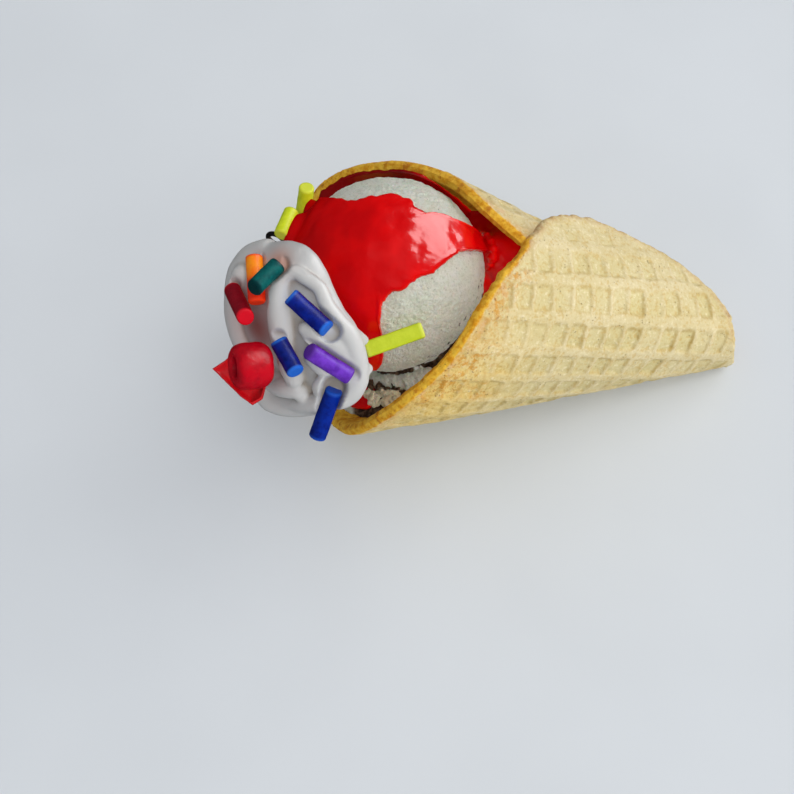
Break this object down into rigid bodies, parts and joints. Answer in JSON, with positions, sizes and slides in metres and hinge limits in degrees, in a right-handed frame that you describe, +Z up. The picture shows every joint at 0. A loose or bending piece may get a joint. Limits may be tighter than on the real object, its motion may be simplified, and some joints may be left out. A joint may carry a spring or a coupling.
{
  "type": "imitation ice cream cone",
  "caption": "Imitation waffle cone sundae lying down: rolled waffle sheet, scoop with strawberry sauce, whipped cream swirl, cherry, fat sugar rods and a wire eye.",
  "frame": {"origin": "on the floor, below the centre of the bounding box", "axes": "+X along the cone towards its tip, +Y away from the viewer who looks into the mouth from the front, +Z up as it lies"},
  "size_m": [0.123, 0.0756, 0.0624],
  "materials": {
    "waffle": "matte baked wafer, pale beige-yellow with browner edges",
    "ice_cream": "matte, granular, grey-cream",
    "strawberry_sauce": "thick glossy red",
    "whipped_cream": "satin white",
    "cherry": "glossy red",
    "red_scrap": "satin red",
    "rod_yellow": "satin yellow-green",
    "rod_orange": "satin orange",
    "rod_teal": "satin dark teal",
    "rod_dark_red": "satin dark red",
    "rod_blue": "satin deep blue",
    "rod_purple": "satin purple",
    "rod_lime": "satin lime",
    "wire": "dull dark steel"
  },
  "bodies": {
    "root": {"waffle_cone": "waffle", "ice_cream_scoop": "ice_cream", "strawberry_sauce": "strawberry_sauce", "whipped_cream": "whipped_cream", "cherry": "cherry", "cherry_scrap": "red_scrap", "rod_yellow_upper": "rod_yellow", "rod_yellow_lower": "rod_yellow", "rod_orange": "rod_orange", "rod_teal": "rod_teal", "rod_dark_red": "rod_dark_red", "rod_blue_long": "rod_blue", "rod_blue_middle": "rod_blue", "rod_purple": "rod_purple", "rod_lime": "rod_lime", "rod_blue_lower": "rod_blue", "wire_eye": "wire"}
  },
  "joints": []
}
